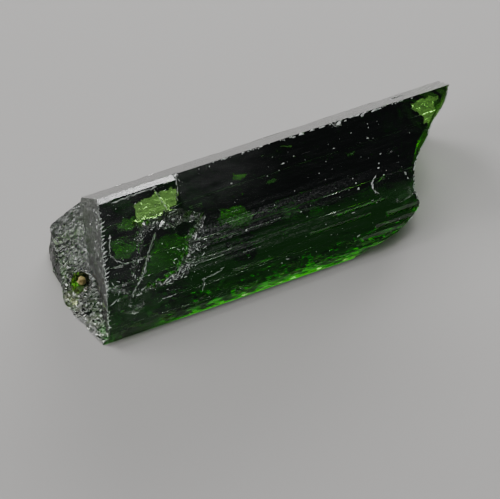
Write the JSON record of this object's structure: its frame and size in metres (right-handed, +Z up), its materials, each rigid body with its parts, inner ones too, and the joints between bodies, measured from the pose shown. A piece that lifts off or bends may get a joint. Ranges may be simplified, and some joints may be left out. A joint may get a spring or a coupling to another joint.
{
  "type": "diopside crystal",
  "caption": "Gem-clear green diopside prism with one rough etched end and one broken pointed end, lying on a prism face; a display or sorting specimen",
  "frame": {"origin": "Centre of the bounding box in plan, at the height of the surface that the crystal rests on", "axes": "+X along the prism (c axis) from the rough etched end to the broken point; +Y from the thin front edge to the back; +Z up"},
  "size_m": [0.0372, 0.0114, 0.0088],
  "materials": {
    "diopside_green": "clear chrome-green crystal with strong absorption, glossy striated prism faces, frosted etched end and rough fracture",
    "matrix_tan": null
  },
  "bodies": {
    "root": {"diopside_crystal": "diopside_green", "matrix_grain": "matrix_tan"}
  },
  "joints": []
}
